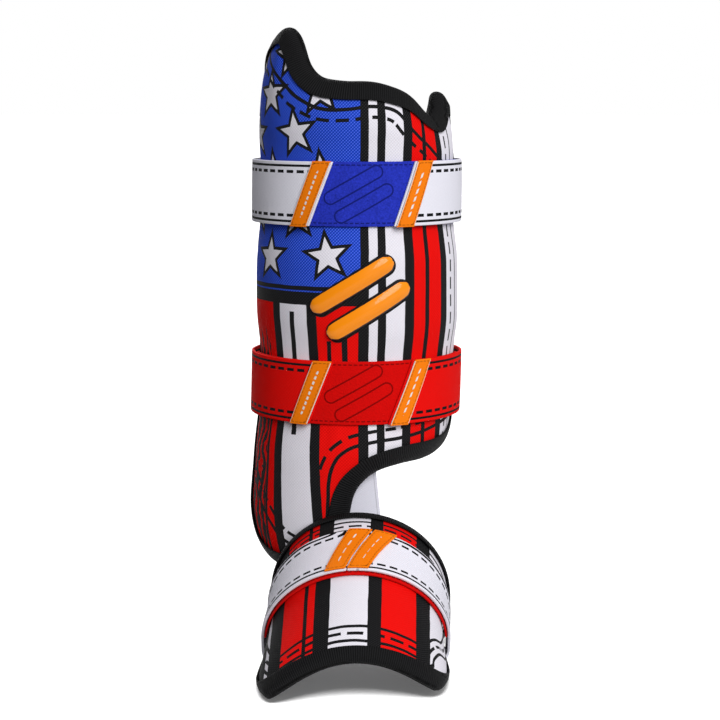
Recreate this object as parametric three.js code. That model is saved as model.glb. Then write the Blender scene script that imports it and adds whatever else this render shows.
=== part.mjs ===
// Batter's leg guard: a padded shin shell and a padded foot piece, both bound with edge tape.
// Elastic straps with pull tabs fasten on strips of loop fabric and hold them on.
// Millimetres, +Z up, the wearer's toes towards -Y.
// The origin lies on the leg's axis, midway between the two calf straps.
import * as THREE from "three";

// Driving dimensions
const FLOOR_Z = -217; // the ground under the foot piece
const GAP = 0.3; // between pieces that are sewn together
const LAY = 0.45; // between bands that lie over each other
const WRAP_RADIUS = 61; // where the lengths round the shin are measured
const STRAP = { height: 38, thickness: 1.8, spacing: 118, backDepth: 55 };
const PATCH = { thickness: 1.2, reach: 82 };
const TAB = { width: 11, thickness: 1.0, margin: 0.8, overhang: 0.4 };
const FOOT_TAB = { width: 12.3, margin: 0.3 };
const TAPE = { thickness: 1.2, shinLip: 8, footLip: 6, backLip: 6 };
const SHIN_PAD = { edge: 5, full: 13.5, strapSeat: 11, roll: 9, columns: 26, rows: 25 };
const SEAT = { flat: 8, free: 16 }; // how far past a strap's edges the pad stays pressed down
const FOOT_PAD = { edge: 4, full: 8, roll: 8, halfArch: 80, columns: 18, rows: 12 };
const FOOT_WALL = { least: 1, blend: 12 }; // the straight stretch at the foot of each arch
const FOOT_PATCH = { reach: 66, forward: 1.6 };
const FOOT_STRAP = { back: 24.5, front: 61.5, floorClearance: 0.2 };
const CONNECTOR = { left: -11, right: 11.5, lean: -0.11, leanFrom: -108, thickness: 1.5, overTape: 3 };
const CONNECTOR_BEND = { rows: 5, fromShell: 14, fromFoot: 22 };
const BADGE = { length: 55, width: 11, height: 2.6, rim: 0.9, tip: 0.16, pitch: 18, tilt: 33, s: 2, z: -2 };

// The hollow of the shin shell at each height: its reach to either side and to the front of the leg's axis
const SHIN_SECTIONS = [
  { z: -175, left: 56, right: 48, front: 46.5 },
  { z: -140, left: 57, right: 48, front: 48 },
  { z: -100, left: 53, right: 49, front: 50 },
  { z: -45, left: 51, right: 50.5, front: 50 },
  { z: 36, left: 50.3, right: 50, front: 50 },
  { z: 82, left: 49.7, right: 49.6, front: 50 },
  { z: 98, left: 48.5, right: 46.2, front: 49.9 },
  { z: 125, left: 47.3, right: 46.5, front: 49.5 },
  { z: 165, left: 47, right: 46.5, front: 48.5 },
];

// The shell's rim laid flat: s runs round the shin from its front, z up. Four rows are the panel's corners.
// Where the tape is rolled back over the edge, less of its lip lies on the front, and more at the lower edge.
const SHIN_RIM = [
  { s: -97, z: 131, corner: "topLeft", lip: 4 },
  { s: -84, z: 143, lip: 4 },
  { s: -70, z: 150, lip: 5 },
  { s: -55, z: 154.5 },
  { s: -46, z: 147.5 },
  { s: -40.5, z: 136.5 },
  { s: -29, z: 126 },
  { s: -8, z: 122.5 },
  { s: 12, z: 122 },
  { s: 38, z: 115.5 },
  { s: 52, z: 107.2 },
  { s: 63, z: 102.4 },
  { s: 74, z: 107 },
  { s: 84, z: 117 },
  { s: 96, z: 112 },
  { s: 103, z: 96, corner: "topRight" },
  { s: 106, z: 10 },
  { s: 105, z: -66 },
  { s: 97, z: -86, corner: "bottomRight" },
  { s: 80, z: -95.5, lip: 9.5 },
  { s: 57, z: -100.5, lip: 10 },
  { s: 29, z: -102.5, lip: 10 },
  { s: 10, z: -107.5, lip: 9.5 },
  { s: -3, z: -119.5, lip: 9 },
  { s: -8, z: -138 },
  { s: -19, z: -158 },
  { s: -37, z: -168.5 },
  { s: -57, z: -168 },
  { s: -76, z: -158.5, corner: "bottomLeft" },
  { s: -89, z: -138, lip: 10 },
  { s: -94, z: -110, lip: 10 },
  { s: -102, z: -70 },
  { s: -106, z: 20 },
  { s: -105, z: 100 },
];

// The foot piece from the ankle forward: its crest's underside, with heights over the floor
const FOOT_CREST = [
  { q: 0, y: -61, z: 81, bell: 1 },
  { q: 33, y: -91, z: 67, bell: 1 },
  { q: 63, y: -118.5, z: 55.5, bell: 1.05 },
  { q: 97, y: -146, z: 36.2, bell: 1.5 },
  { q: 117, y: -160, z: 23.6, bell: 2 },
];

// Where the foot piece's two sides stand at the same places, and how far over the floor.
// The front corners are cut away round, so the sides there are drawn on below the floor.
const FOOT_SIDES = [
  { q: 0, leftX: -45.5, leftY: -42, rightX: 51, rightY: -42, z: 4.2 },
  { q: 33, leftX: -41.5, leftY: -64, rightX: 43.5, rightY: -63, z: 4.2 },
  { q: 63, leftX: -45, leftY: -90, rightX: 43.5, rightY: -86, z: 4.2 },
  { q: 97, leftX: -50.5, leftY: -134, rightX: 46.5, rightY: -122, z: -0.6 },
  { q: 117, leftX: -50.5, leftY: -166, rightX: 48, rightY: -152, z: -1.8 },
];

// The foot piece's rim laid flat: p runs over the arch from its crest, q from the ankle forward
const FOOT_RIM = [
  { p: -76, q: 4.5, corner: "topLeft" },
  { p: -57, q: 0 },
  { p: 0, q: 0 },
  { p: 57, q: 0 },
  { p: 76, q: 4.5, corner: "topRight" },
  { p: 78.5, q: 20 },
  { p: 78.5, q: 86 },
  { p: 73.5, q: 99.5 },
  { p: 64.5, q: 110, corner: "bottomRight" },
  { p: 50, q: 116.5 },
  { p: 0, q: 117 },
  { p: -50, q: 116.5 },
  { p: -67, q: 111, corner: "bottomLeft" },
  { p: -75, q: 101 },
  { p: -78.5, q: 86 },
  { p: -78.5, q: 20 },
];

// Where the ends of each strap stop on the front, along its top and bottom edges
const CALF_STRAPS = [
  { name: "upper", z: STRAP.spacing / 2, colour: "whiteElastic", patch: "blueLoop" },
  { name: "lower", z: -STRAP.spacing / 2, colour: "redElastic", patch: "redLoop" },
];
const CALF_STRAP_ENDS = {
  upper: { left: [-13.2, -27.7], right: [34.6, 21] },
  lower: { left: [-12.9, -27.2], right: [32.8, 17.8] },
};
const FOOT_STRAP_ENDS = { left: [8.5, -6.5], right: [9, -6] };

// Heights of the layers over the shin's hollow and over the foot's
const PATCH_LEVEL = SHIN_PAD.strapSeat + LAY;
const STRAP_LEVEL = PATCH_LEVEL + PATCH.thickness + LAY;
const TAB_LEVEL = STRAP_LEVEL + STRAP.thickness + LAY;
const FOOT_PATCH_LEVEL = FOOT_PAD.full + LAY;
const FOOT_STRAP_LEVEL = FOOT_PATCH_LEVEL + PATCH.thickness + LAY;
const FOOT_TAB_LEVEL = FOOT_STRAP_LEVEL + STRAP.thickness + LAY;

// How finely the sheets are divided
const ROWS_ACROSS = 3;
const TAB_COLUMNS = 3;
const PATCH_COLUMNS = 26;
const FOOT_PATCH_COLUMNS = 22;
const BADGE_GRID = { columns: 12, rows: 4 };
const CONNECTOR_COLUMNS = 4;
const RIM_STEPS = 600;

const fabric = (color) => new THREE.MeshStandardMaterial({ color, roughness: 0.9, metalness: 0 });
const materials = {
  print: fabric(0x2f45b8),
  footPrint: fabric(0xc21410),
  tape: fabric(0x191919),
  whiteElastic: fabric(0xdedce8),
  redElastic: fabric(0xd8140f),
  blueLoop: fabric(0x2c36b4),
  redLoop: fabric(0xc00c0a),
  orangeLabel: fabric(0xf77a0a),
  badge: new THREE.MeshStandardMaterial({ color: 0xf98a12, roughness: 0.35, metalness: 0 }),
};

const leg_guard = new THREE.Group();

function addPiece(name, geometry, material) {
  const mesh = new THREE.Mesh(geometry, material);
  mesh.name = name;
  leg_guard.add(mesh);
}

// One column of a table at any place, on a smooth curve through its rows that runs straight past the ends
function readTable(table, key, column, at) {
  const last = table.length - 1;
  const slope = (i) => {
    const a = table[Math.max(i - 1, 0)];
    const b = table[Math.min(i + 1, last)];
    return (b[column] - a[column]) / (b[key] - a[key]);
  };
  if (at <= table[0][key]) return table[0][column] + slope(0) * (at - table[0][key]);
  if (at >= table[last][key]) return table[last][column] + slope(last) * (at - table[last][key]);
  const i = table.findIndex((row) => row[key] > at) - 1;
  const step = table[i + 1][key] - table[i][key];
  const t = (at - table[i][key]) / step;
  const rise = table[i + 1][column] - table[i][column];
  const first = slope(i) * step;
  const second = slope(i + 1) * step;
  const bow = 3 * rise - 2 * first - second;
  const twist = first + second - 2 * rise;
  return table[i][column] + t * (first + t * (bow + t * twist));
}

// A closed body from its points and four-sided faces, with the faces turned outwards
function closedBody(points, faces) {
  const triangles = faces.flatMap(([a, b, c, d]) => [a, b, c, a, c, d]);
  let volume = 0;
  for (let i = 0; i < triangles.length; i += 3) {
    const [a, b, c] = triangles.slice(i, i + 3).map((k) => points[k]);
    volume += a.dot(b.clone().cross(c));
  }
  if (volume < 0) triangles.reverse();
  const geometry = new THREE.BufferGeometry().setFromPoints(points);
  geometry.setIndex(triangles);
  geometry.computeVertexNormals();
  return geometry;
}

// A sheet with thickness: pointAt(i, j, side) gives the grid's points on its outer (1) and inner (0) face
function sheetBody(columns, rows, pointAt) {
  const points = [];
  for (const side of [0, 1])
    for (let j = 0; j <= rows; j += 1)
      for (let i = 0; i <= columns; i += 1) points.push(pointAt(i, j, side));
  const at = (i, j, side) => (side * (rows + 1) + j) * (columns + 1) + i;
  const faces = [];
  for (let j = 0; j < rows; j += 1)
    for (let i = 0; i < columns; i += 1) {
      faces.push([at(i, j, 1), at(i + 1, j, 1), at(i + 1, j + 1, 1), at(i, j + 1, 1)]);
      faces.push([at(i, j, 0), at(i, j + 1, 0), at(i + 1, j + 1, 0), at(i + 1, j, 0)]);
    }
  for (let i = 0; i < columns; i += 1) {
    faces.push([at(i, 0, 0), at(i + 1, 0, 0), at(i + 1, 0, 1), at(i, 0, 1)]);
    faces.push([at(i + 1, rows, 0), at(i, rows, 0), at(i, rows, 1), at(i + 1, rows, 1)]);
  }
  for (let j = 0; j < rows; j += 1) {
    faces.push([at(0, j + 1, 0), at(0, j, 0), at(0, j, 1), at(0, j + 1, 1)]);
    faces.push([at(columns, j, 0), at(columns, j + 1, 0), at(columns, j + 1, 1), at(columns, j, 1)]);
  }
  return closedBody(points, faces);
}

// A padded panel laid flat: points at equal steps along its rim's four sides, each with the way inwards and
// the tape's lip there, and a grid that fills what lies inside the edge tape
function layOutPanel(rim, across, up, columns, rows, lip) {
  const curve = new THREE.CatmullRomCurve3(
    rim.map((row) => new THREE.Vector3(row[across], row[up], 0)),
    true,
    "centripetal",
  );
  const cornerAt = {};
  rim.forEach((row, i) => {
    if (row.corner) cornerAt[row.corner] = i / rim.length;
  });
  const lipAt = (place) => {
    const row = place * rim.length;
    const before = rim[Math.floor(row) % rim.length].lip ?? lip;
    const after = rim[Math.ceil(row) % rim.length].lip ?? lip;
    return THREE.MathUtils.lerp(before, after, row % 1);
  };
  const side = (from, to, steps) => {
    const begin = cornerAt[from];
    const finish = cornerAt[to] > begin ? cornerAt[to] : cornerAt[to] + 1;
    const placeOf = (i) => (begin + ((finish - begin) * i) / RIM_STEPS) % 1;
    const fine = Array.from({ length: RIM_STEPS + 1 }, (_, i) => curve.getPoint(placeOf(i)));
    const run = [0];
    for (let i = 1; i < fine.length; i += 1) run.push(run[i - 1] + fine[i].distanceTo(fine[i - 1]));
    return Array.from({ length: steps }, (_, k) => {
      const wanted = (run.at(-1) * k) / steps;
      const i = Math.max(1, run.findIndex((length) => length >= wanted - 1e-9));
      const point = fine[i - 1].clone().lerp(fine[i], (wanted - run[i - 1]) / (run[i] - run[i - 1]));
      const ahead = curve.getTangent(placeOf(i - 0.5));
      const inward = new THREE.Vector3(ahead.y, -ahead.x, 0).normalize();
      return { point, inward, lip: lipAt(placeOf(i - 0.5)) };
    });
  };
  const around = [
    ...side("topLeft", "topRight", columns),
    ...side("topRight", "bottomRight", rows),
    ...side("bottomRight", "bottomLeft", columns),
    ...side("bottomLeft", "topLeft", rows),
  ];
  const ringPoint = (n, depth) => around[n].point.clone().addScaledVector(around[n].inward, depth);
  const lipPoint = (n) => ringPoint(n, around[n].lip);
  // The place on the rim of a grid point on the grid's border
  const borderOf = (i, j) => {
    if (j === rows) return i;
    if (i === columns) return columns + rows - j;
    if (j === 0) return 2 * columns + rows - i;
    return 2 * columns + rows + j;
  };
  const border = (i, j) => lipPoint(borderOf(i, j));
  const gridPoint = (i, j) => {
    const u = i / columns;
    const v = j / rows;
    const point = new THREE.Vector3();
    point.addScaledVector(border(i, 0), 1 - v).addScaledVector(border(i, rows), v);
    point.addScaledVector(border(0, j), 1 - u).addScaledVector(border(columns, j), u);
    point.addScaledVector(border(0, 0), -(1 - u) * (1 - v));
    point.addScaledVector(border(columns, 0), -u * (1 - v));
    point.addScaledVector(border(0, rows), -(1 - u) * v).addScaledVector(border(columns, rows), -u * v);
    return point;
  };
  const trace = curve.getSpacedPoints(RIM_STEPS);
  return { columns, rows, around, ringPoint, borderOf, gridPoint, trace };
}

function distanceToRim(point, trace) {
  return Math.sqrt(Math.min(...trace.map((t) => t.distanceToSquared(point))));
}

// The pad itself: full in the middle and rolled down to its rim
function padBody(panel, surface, thickness) {
  const { columns, rows, around, ringPoint, borderOf, gridPoint, trace } = panel;
  const count = around.length;
  const shares = [0, 0.5]; // of the lip
  const points = [];
  const layer = shares.length * count + (columns + 1) * (rows + 1);
  for (const side of [0, 1]) {
    for (const share of shares)
      for (let n = 0; n < count; n += 1) {
        const depth = share * around[n].lip;
        const { x, y } = ringPoint(n, depth);
        points.push(surface(x, y, side * thickness(x, y, depth)));
      }
    for (let j = 0; j <= rows; j += 1)
      for (let i = 0; i <= columns; i += 1) {
        const flat = gridPoint(i, j);
        const onBorder = i === 0 || j === 0 || i === columns || j === rows;
        const away = onBorder ? around[borderOf(i, j)].lip : distanceToRim(flat, trace);
        points.push(surface(flat.x, flat.y, side * thickness(flat.x, flat.y, away)));
      }
  }
  const gridAt = (i, j) => shares.length * count + j * (columns + 1) + i;
  const borderAt = [];
  for (let j = 0; j <= rows; j += 1)
    for (let i = 0; i <= columns; i += 1)
      if (i === 0 || j === 0 || i === columns || j === rows) borderAt[borderOf(i, j)] = gridAt(i, j);
  const upper = [];
  for (let n = 0; n < count; n += 1) {
    const m = (n + 1) % count;
    upper.push([n, m, count + m, count + n]);
    upper.push([count + n, count + m, borderAt[m], borderAt[n]]);
  }
  for (let j = 0; j < rows; j += 1)
    for (let i = 0; i < columns; i += 1)
      upper.push([gridAt(i, j), gridAt(i, j + 1), gridAt(i + 1, j + 1), gridAt(i + 1, j)]);
  const faces = upper.map((face) => face.map((k) => k + layer));
  for (const [a, b, c, d] of upper) faces.push([a, d, c, b]);
  for (let n = 0; n < count; n += 1) {
    const m = (n + 1) % count;
    faces.push([n, m, m + layer, n + layer]);
  }
  return closedBody(points, faces);
}

// Edge tape folded round a pad's rim: a channel whose two lips lie on the pad's outer and inner face
function tapeBody(panel, surface, thickness) {
  const near = GAP;
  const far = GAP + TAPE.thickness;
  const points = [];
  panel.around.forEach(({ lip }, n) => {
    const place = (depth, lift) => {
      const { x, y } = panel.ringPoint(n, depth);
      return surface(x, y, lift);
    };
    const padTop = (depth) => {
      const { x, y } = panel.ringPoint(n, depth);
      return thickness(x, y, depth);
    };
    const edge = padTop(0);
    const middle = lip / 2;
    points.push(
      place(lip, padTop(lip) + near),
      place(lip, padTop(lip) + far),
      place(middle, padTop(middle) + far),
      place(-far, edge + far / 2),
      place(-far, -far / 2),
      place(TAPE.backLip, -far),
      place(TAPE.backLip, -near),
      place(-near, -near),
      place(-near, edge + near),
      place(middle, padTop(middle) + near),
    );
  });
  const count = panel.around.length;
  const ring = points.length / count;
  const faces = [];
  for (let n = 0; n < count; n += 1)
    for (let k = 0; k < ring; k += 1) {
      const next = ((n + 1) % count) * ring;
      faces.push([n * ring + k, n * ring + ((k + 1) % ring), next + ((k + 1) % ring), next + k]);
    }
  return closedBody(points, faces);
}

// Shin: the surface over the hollow, lifted by a height
function shinSurface(s, z, height) {
  const angle = s / WRAP_RADIUS;
  const reach = readTable(SHIN_SECTIONS, "z", angle < 0 ? "left" : "right", z);
  const front = readTable(SHIN_SECTIONS, "z", "front", z);
  return new THREE.Vector3((reach + height) * Math.sin(angle), -(front + height) * Math.cos(angle), z);
}

// The padding swells between the straps and is pressed down under them
function shinThickness(s, z, away) {
  const fromStrap = Math.abs(Math.abs(z) - STRAP.spacing / 2);
  const past = fromStrap - STRAP.height / 2;
  const free = THREE.MathUtils.smoothstep(past, SEAT.flat, SEAT.free);
  const most = THREE.MathUtils.lerp(SHIN_PAD.strapSeat, SHIN_PAD.full, free);
  return most - (most - SHIN_PAD.edge) * Math.exp(-away / SHIN_PAD.roll);
}

// A point on a calf strap's loop, where the angle runs from the front round to the right and the back
function calfLoop(angle, z, height) {
  const point = shinSurface((angle > Math.PI ? angle - 2 * Math.PI : angle) * WRAP_RADIUS, z, height);
  if (Math.cos(angle) < 0) point.y = -(STRAP.backDepth + height - PATCH_LEVEL) * Math.cos(angle);
  return point;
}

// A place along a row of stops, with so many columns between each stop and the next
function alongStops(stops, columns, i) {
  let leg = 0;
  let before = 0;
  while (leg < columns.length - 1 && i > before + columns[leg]) {
    before += columns[leg];
    leg += 1;
  }
  return THREE.MathUtils.lerp(stops[leg], stops[leg + 1], (i - before) / columns[leg]);
}

const total = (columns) => columns.reduce((sum, count) => sum + count, 0);

function addCalfStrap({ name, z, colour, patch }) {
  const { left, right } = CALF_STRAP_ENDS[name];
  const level = (v, reach) => z + (v - 0.5) * reach;
  const slant = (ends, v) => THREE.MathUtils.lerp(ends[1], ends[0], v);
  const patchBody = sheetBody(PATCH_COLUMNS, 1, (i, j, side) => {
    const s = ((2 * i) / PATCH_COLUMNS - 1) * PATCH.reach;
    return shinSurface(s, level(j, STRAP.height), PATCH_LEVEL + side * PATCH.thickness);
  });
  addPiece(`${name}_patch`, patchBody, materials[patch]);

  // From the right end to the side, round the back, and over the other side to the left end
  const columns = [8, 12, 11];
  const aside = THREE.MathUtils.degToRad(95);
  const turn = 2 * Math.PI;
  const strapBody = sheetBody(total(columns), ROWS_ACROSS, (i, j, side) => {
    const v = j / ROWS_ACROSS;
    const begin = slant(right, v) / WRAP_RADIUS;
    const finish = slant(left, v) / WRAP_RADIUS + turn;
    const angle = alongStops([begin, aside, turn - aside, finish], columns, i);
    return calfLoop(angle, level(v, STRAP.height), STRAP_LEVEL + side * STRAP.thickness);
  });
  addPiece(`${name}_strap`, strapBody, materials[colour]);

  const addTab = (side, ends, start) => {
    const tabBody = sheetBody(TAB_COLUMNS, ROWS_ACROSS, (i, j, face) => {
      const v = j / ROWS_ACROSS;
      const s = slant(ends, v) + start + (TAB.width * i) / TAB_COLUMNS;
      return shinSurface(s, level(v, STRAP.height + 2 * TAB.overhang), TAB_LEVEL + face * TAB.thickness);
    });
    addPiece(`${name}_tab_${side}`, tabBody, materials.orangeLabel);
  };
  addTab("left", left, -TAB.margin - TAB.width);
  addTab("right", right, TAB.margin);
}

// Two raised slanting bars on the shin, domed across their width
function addBadge() {
  const tilt = THREE.MathUtils.degToRad(BADGE.tilt);
  const addBar = (name, offset) => {
    const bar = sheetBody(BADGE_GRID.columns, BADGE_GRID.rows, (i, j, side) => {
      // Columns crowd towards the round ends, where the bar narrows on an arc
      const along = -Math.cos((Math.PI * i) / BADGE_GRID.columns) * (BADGE.length / 2);
      const straight = BADGE.length / 2 - BADGE.width / 2;
      const past = Math.max(0, Math.abs(along) - straight) / (BADGE.width / 2);
      const narrow = Math.max(BADGE.tip, Math.sqrt(Math.max(0, 1 - past * past)));
      const v = (2 * j) / BADGE_GRID.rows - 1;
      const across = (v * narrow * BADGE.width) / 2 + offset;
      const s = BADGE.s + along * Math.cos(tilt) - across * Math.sin(tilt);
      const z = BADGE.z + along * Math.sin(tilt) + across * Math.cos(tilt);
      const dome = BADGE.rim + (BADGE.height - BADGE.rim) * (1 - v * v) * narrow;
      return shinSurface(s, z, SHIN_PAD.full + GAP + side * dome);
    });
    addPiece(name, bar, materials.badge);
  };
  addBar("badge_bar_upper", BADGE.pitch / 2);
  addBar("badge_bar_lower", -BADGE.pitch / 2);
}

// Foot: an arch at each station, standing on the floor and leaning towards the toes
function footArch(p, q) {
  const crest = (column) => readTable(FOOT_CREST, "q", column, q);
  const standing = (column) => readTable(FOOT_SIDES, "q", column, q);
  const hand = p < 0 ? "left" : "right";
  const sideX = standing(`${hand}X`);
  const height = crest("z") - standing("z");
  // What the arch is higher than it is wide stands on straight sides
  const excess = height - Math.abs(sideX);
  const straight = (excess + Math.hypot(excess, FOOT_WALL.blend)) / 2 + FOOT_WALL.least;
  const round = height - straight;
  const bend = (Math.PI / 4) * (round + Math.abs(sideX));
  const run = (Math.abs(p) / FOOT_PAD.halfArch) * (bend + straight);
  const angle = Math.min(run / bend, 1) * (Math.PI / 2);
  const dome = Math.max(0, Math.cos(angle)) ** crest("bell");
  const rise = (straight + round * dome - Math.max(0, run - bend)) / height;
  return new THREE.Vector3(
    sideX * Math.sin(angle),
    THREE.MathUtils.lerp(standing(`${hand}Y`), crest("y"), rise),
    FLOOR_Z + standing("z") + height * rise,
  );
}

function footSurface(p, q, height) {
  const step = 0.5;
  const across = footArch(p + step, q).sub(footArch(p - step, q));
  const along = footArch(p, q + step).sub(footArch(p, q - step));
  const outward = along.cross(across).normalize();
  return footArch(p, q).addScaledVector(outward, height);
}

function footThickness(p, q, away) {
  return FOOT_PAD.full - (FOOT_PAD.full - FOOT_PAD.edge) * Math.exp(-away / FOOT_PAD.roll);
}

// A point on the foot strap's loop: over the arch for run up to 1 either way, and then under the foot
function footLoop(run, q, height) {
  const reach = FOOT_PAD.halfArch;
  if (Math.abs(run) <= 1) return footSurface(run * reach, q, height);
  const foot = footSurface(Math.sign(run) * reach, q, height);
  const level = FLOOR_Z + FOOT_STRAP.floorClearance + STRAP.thickness - (height - FOOT_STRAP_LEVEL);
  return new THREE.Vector3(foot.x * (2 - Math.abs(run)), foot.y, level);
}

function addFootStrap() {
  const { back, front } = FOOT_STRAP;
  const place = (j) => THREE.MathUtils.lerp(front, back, j);
  // Lengths along the strap over the crest, in steps across the arch
  const stretch = footSurface(1, (back + front) / 2, FOOT_STRAP_LEVEL).x;
  const slant = (ends, v) => THREE.MathUtils.lerp(ends[1], ends[0], v) / stretch / FOOT_PAD.halfArch;
  const patchBody = sheetBody(FOOT_PATCH_COLUMNS, ROWS_ACROSS, (i, j, side) => {
    const p = ((2 * i) / FOOT_PATCH_COLUMNS - 1) * FOOT_PATCH.reach;
    const q = place(j / ROWS_ACROSS) + FOOT_PATCH.forward;
    return footSurface(p, q, FOOT_PATCH_LEVEL + side * PATCH.thickness);
  });
  addPiece("foot_patch", patchBody, materials.redLoop);

  // From the right end down to the floor, under the foot, and up to the left end
  const columns = [16, 1, 6, 1, 16];
  const corner = 1.05;
  const strapBody = sheetBody(total(columns), ROWS_ACROSS, (i, j, side) => {
    const v = j / ROWS_ACROSS;
    const begin = slant(FOOT_STRAP_ENDS.right, v);
    const finish = slant(FOOT_STRAP_ENDS.left, v) + 4;
    const run = alongStops([begin, 1, corner, 4 - corner, 3, finish], columns, i);
    return footLoop(run > 2 ? run - 4 : run, place(v), FOOT_STRAP_LEVEL + side * STRAP.thickness);
  });
  addPiece("foot_strap", strapBody, materials.whiteElastic);

  const addTab = (side, ends, start) => {
    const tabBody = sheetBody(TAB_COLUMNS, ROWS_ACROSS, (i, j, face) => {
      const v = j / ROWS_ACROSS;
      const p = slant(ends, v) * FOOT_PAD.halfArch + (start + (FOOT_TAB.width * i) / TAB_COLUMNS) / stretch;
      return footSurface(p, place(v), FOOT_TAB_LEVEL + face * TAB.thickness);
    });
    addPiece(`foot_tab_${side}`, tabBody, materials.orangeLabel);
  };
  addTab("left", FOOT_STRAP_ENDS.left, -FOOT_TAB.margin - FOOT_TAB.width);
  addTab("right", FOOT_STRAP_ENDS.right, FOOT_TAB.margin);
}

// The elastic that joins the two pads: down the inside of the shell, then forward under the foot piece
function addConnector() {
  const shellRows = [
    { z: -72, lift: GAP },
    { z: -85, lift: GAP },
    { z: -96, lift: CONNECTOR.overTape },
    { z: -108, lift: CONNECTOR.overTape },
    { z: -120, lift: CONNECTOR.overTape },
    { z: -133, lift: CONNECTOR.overTape },
    { z: -146, lift: CONNECTOR.overTape },
  ];
  const footPlaces = [34, 43, 52];
  const lastOnShell = shellRows.at(-1);
  const bendRows = CONNECTOR_BEND.rows;
  const rows = shellRows.length + bendRows + footPlaces.length - 1;
  const toWrap = WRAP_RADIUS / (SHIN_SECTIONS[0].front - CONNECTOR.overTape / 2);
  const body = sheetBody(CONNECTOR_COLUMNS, rows, (i, j, side) => {
    const x = THREE.MathUtils.lerp(CONNECTOR.left, CONNECTOR.right, i / CONNECTOR_COLUMNS);
    const below = (1 - side) * CONNECTOR.thickness;
    const leaning = (z) => x + CONNECTOR.lean * (z - CONNECTOR.leanFrom);
    const onShell = ({ z, lift }) => shinSurface(leaning(z) * toWrap, z, -lift - below);
    const onFoot = (q) => footSurface(leaning(lastOnShell.z), q, -GAP - LAY - below);
    const k = rows - j; // rows count from the bottom
    if (k < shellRows.length) return onShell(shellRows[k]);
    if (k >= shellRows.length + bendRows) return onFoot(footPlaces[k - shellRows.length - bendRows]);
    const from = onShell(lastOnShell);
    const to = onFoot(footPlaces[0]);
    const back = onFoot(footPlaces[0] - 2).sub(to).normalize();
    const bend = new THREE.CubicBezierCurve3(
      from,
      from.clone().add(new THREE.Vector3(0, 0, -CONNECTOR_BEND.fromShell)),
      to.clone().addScaledVector(back, CONNECTOR_BEND.fromFoot),
      to,
    );
    return bend.getPoint((k - shellRows.length + 1) / (bendRows + 1));
  });
  addPiece("connector_strap", body, materials.whiteElastic);
}

const shinPanel = layOutPanel(SHIN_RIM, "s", "z", SHIN_PAD.columns, SHIN_PAD.rows, TAPE.shinLip);
const footRows = FOOT_RIM.map((row) => ({ ...row, up: -row.q }));
const footPanel = layOutPanel(footRows, "p", "up", FOOT_PAD.columns, FOOT_PAD.rows, TAPE.footLip);
const footFlat = (p, up, height) => footSurface(p, -up, height);

addPiece("shin_pad", padBody(shinPanel, shinSurface, shinThickness), materials.print);
addPiece("shin_binding", tapeBody(shinPanel, shinSurface, shinThickness), materials.tape);
CALF_STRAPS.forEach(addCalfStrap);
addBadge();
addPiece("foot_pad", padBody(footPanel, footFlat, footThickness), materials.footPrint);
addPiece("foot_binding", tapeBody(footPanel, footFlat, footThickness), materials.tape);
addFootStrap();
addConnector();

export default leg_guard;
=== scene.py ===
import math
from collections import defaultdict

import bpy
import numpy as np
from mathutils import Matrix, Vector
from mathutils.kdtree import KDTree


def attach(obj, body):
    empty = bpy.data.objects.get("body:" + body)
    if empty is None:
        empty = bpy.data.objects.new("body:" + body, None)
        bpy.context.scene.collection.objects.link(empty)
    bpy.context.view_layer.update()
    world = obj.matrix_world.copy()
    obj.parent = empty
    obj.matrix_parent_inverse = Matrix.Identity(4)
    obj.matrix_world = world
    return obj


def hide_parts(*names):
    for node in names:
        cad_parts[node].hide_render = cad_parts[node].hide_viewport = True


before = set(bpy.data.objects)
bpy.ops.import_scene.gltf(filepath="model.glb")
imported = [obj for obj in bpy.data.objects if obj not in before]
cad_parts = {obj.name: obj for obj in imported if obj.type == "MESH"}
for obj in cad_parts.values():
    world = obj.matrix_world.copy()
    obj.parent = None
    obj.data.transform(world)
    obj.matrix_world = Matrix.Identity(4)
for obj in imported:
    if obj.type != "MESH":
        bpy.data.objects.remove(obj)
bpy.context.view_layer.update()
scene = bpy.context.scene
mm = 0.001
wrapRadius = 61  # mm, where lengths round the shin are measured
strapCentre = 59  # mm above and below the origin
strapHeight = 38
print("frame loaded:", len(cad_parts), "nodes")


# Working by hand: selection, modifiers, copies of the frame's meshes

def selectOnly(piece):
    bpy.ops.object.select_all(action="DESELECT")
    piece.select_set(True)
    bpy.context.view_layer.objects.active = piece


def editMode(on=True):
    bpy.ops.object.mode_set(mode="EDIT" if on else "OBJECT")


def applyModifier(piece, kind, **settings):
    selectOnly(piece)
    modifier = piece.modifiers.new(kind.title(), kind)
    for name, value in settings.items():
        setattr(modifier, name, value)
    bpy.ops.object.modifier_apply(modifier=modifier.name)


def placesOf(piece):
    return np.array([vertex.co for vertex in piece.data.vertices])


def movePoints(piece, places):
    piece.data.vertices.foreach_set("co", places.astype(np.float32).ravel())


def smoothOut(piece, levels, keep=0.0, rounds=2):  # keep draws the skin back through the first points
    if keep:
        first = placesOf(piece)
        drawn = first.copy()
        for turn in range(rounds):
            trial = bpy.data.objects.new("trial", piece.data.copy())
            scene.collection.objects.link(trial)
            movePoints(trial, drawn)
            applyModifier(trial, "SUBSURF", levels=levels, render_levels=levels)
            drawn += (first - placesOf(trial)[:len(first)]) * keep
            bpy.data.objects.remove(trial)
        movePoints(piece, drawn)
    applyModifier(piece, "SUBSURF", levels=levels, render_levels=levels)


def fourSided(piece, joinAngle=50, weld=0.02 * mm):  # loose triangles become one skin of quads
    selectOnly(piece)
    bpy.ops.mesh.customdata_custom_splitnormals_clear()
    editMode()
    bpy.ops.mesh.select_all(action="SELECT")
    bpy.ops.mesh.remove_doubles(threshold=weld)
    limit = math.radians(joinAngle)
    bpy.ops.mesh.tris_convert_to_quads(face_threshold=limit, shape_threshold=limit)
    editMode(False)


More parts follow.
